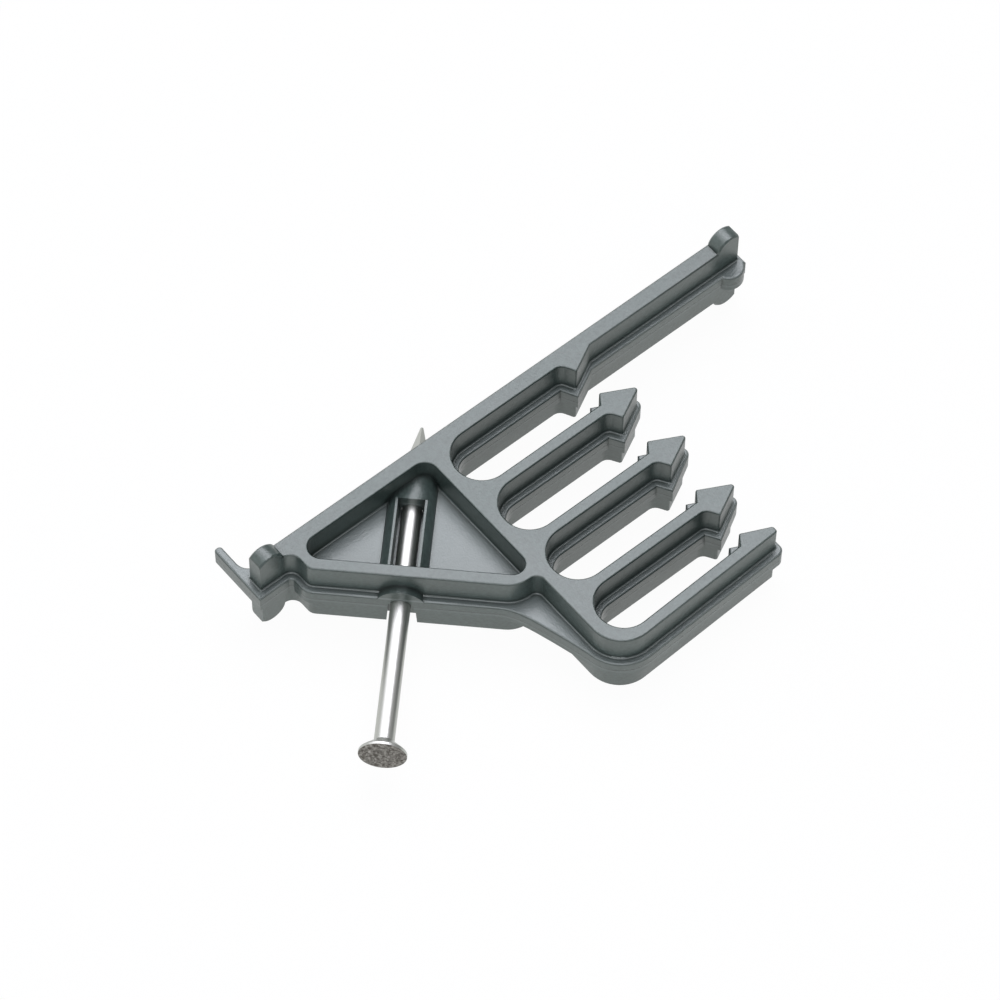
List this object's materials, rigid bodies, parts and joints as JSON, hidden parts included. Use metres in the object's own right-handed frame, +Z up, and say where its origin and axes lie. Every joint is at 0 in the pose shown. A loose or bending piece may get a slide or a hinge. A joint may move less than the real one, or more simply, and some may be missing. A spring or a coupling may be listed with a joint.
{
  "type": "cable stacker",
  "caption": "Moulded comb that stacks building cables in open slots, with a hook for the stud's edge and its own slanted nail.",
  "frame": {"origin": "on the face that lies against the stud, at the comb's mid length and mid height", "axes": "+X along the stud away from the hook, +Y into the stud, +Z up off the comb's flat side"},
  "size_m": [0.093, 0.0514, 0.0162],
  "materials": {
    "moulded_plastic": "satin moulded",
    "nail_steel": "bright drawn wire"
  },
  "bodies": {
    "comb": {"stacker_body": "moulded_plastic"},
    "nail": {"captive_nail": "nail_steel"}
  },
  "joints": [
    {"name": "nail_drive", "type": "slide", "parent": "comb", "child": "nail", "axis": [0.7071, 0.7071, 0], "range_m": [0, 0.0215]}
  ]
}
